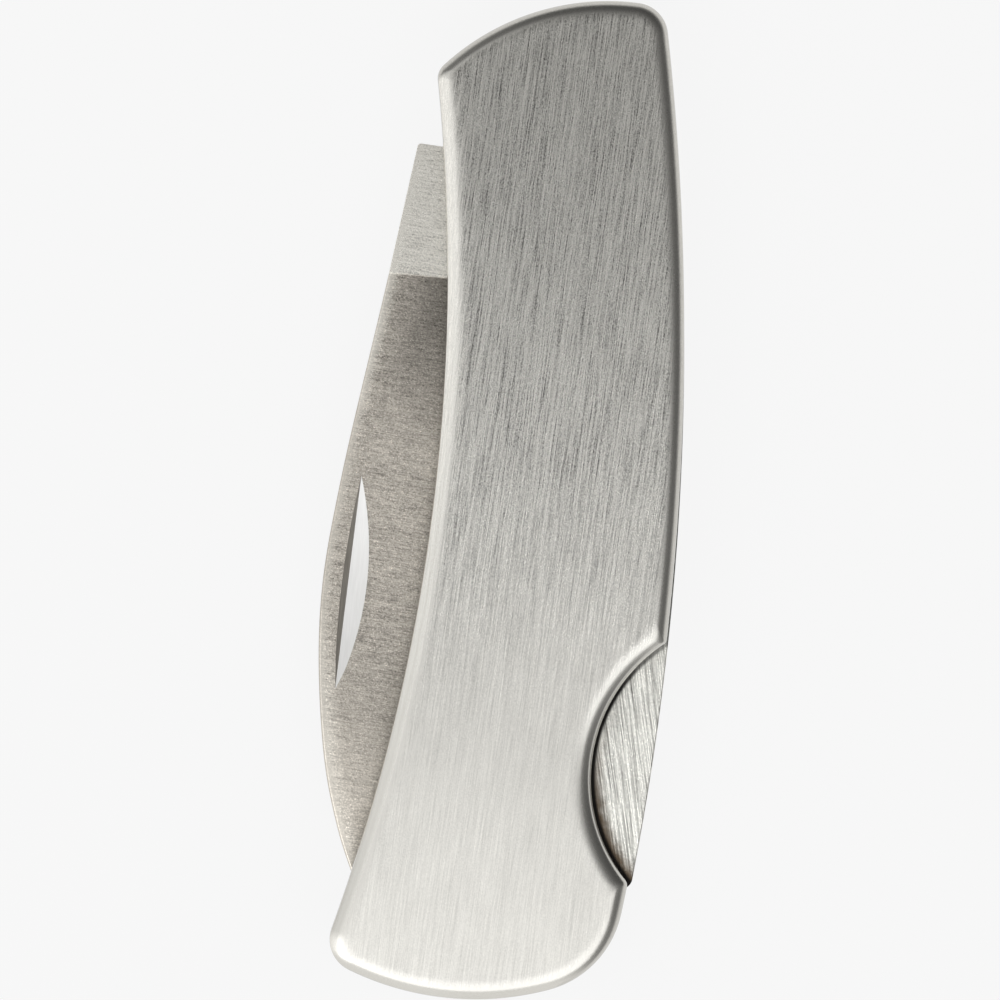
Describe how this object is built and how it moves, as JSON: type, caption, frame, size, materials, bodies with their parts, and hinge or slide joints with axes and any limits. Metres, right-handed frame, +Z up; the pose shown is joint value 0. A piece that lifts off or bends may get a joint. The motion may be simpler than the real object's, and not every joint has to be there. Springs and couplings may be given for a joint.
{
  "type": "folding pocket knife",
  "caption": "Closed folding pocket knife with a back lock, brushed steel covers, a thumb cut-out in the spine and a blade with a nail mark.",
  "frame": {"origin": "on the blade pivot's axis, in the lower cover's outer face", "axes": "+X from the pivot to the butt, +Y to the spine of the handle, +Z up through the marked side"},
  "size_m": [0.0807, 0.0281, 0.0088],
  "materials": {
    "cover_steel": "brushed along the handle",
    "blade_steel": "satin, ground across the blade",
    "lock_steel": "coarsely ground",
    "frame_steel": "plain rolled",
    "spring_steel": "tempered, dull",
    "bronze": "plain rolled bronze"
  },
  "bodies": {
    "handle": {"upper_cover": "cover_steel", "lower_cover": "cover_steel", "upper_liner": "frame_steel", "lower_liner": "frame_steel", "upper_washer": "bronze", "lower_washer": "bronze", "upper_stud_1": "frame_steel", "upper_stud_2": "frame_steel", "upper_stud_3": "frame_steel", "lower_stud_1": "frame_steel", "lower_stud_2": "frame_steel", "lower_stud_3": "frame_steel", "butt_spacer": "frame_steel", "lock_spring": "spring_steel", "pivot_pin": "frame_steel", "rocker_pin": "frame_steel", "spine_butt_rivet": "frame_steel", "belly_butt_rivet": "frame_steel"},
    "blade": {"blade": "blade_steel"},
    "lock_bar": {"lock_bar": "lock_steel"}
  },
  "joints": [
    {"name": "blade_pivot", "type": "hinge", "parent": "handle", "child": "blade", "pos_m": [0, 0, 0.0044], "axis": [0, 0, -1], "range_deg": [0, 172]},
    {"name": "lock_rock", "type": "hinge", "parent": "handle", "child": "lock_bar", "pos_m": [0.029, 0.0103, 0.0044], "axis": [0, 0, -1], "range_deg": [-1.2, 2.6], "stiffness_Nm_per_rad": 2, "deforming": ["lock_spring"]}
  ]
}
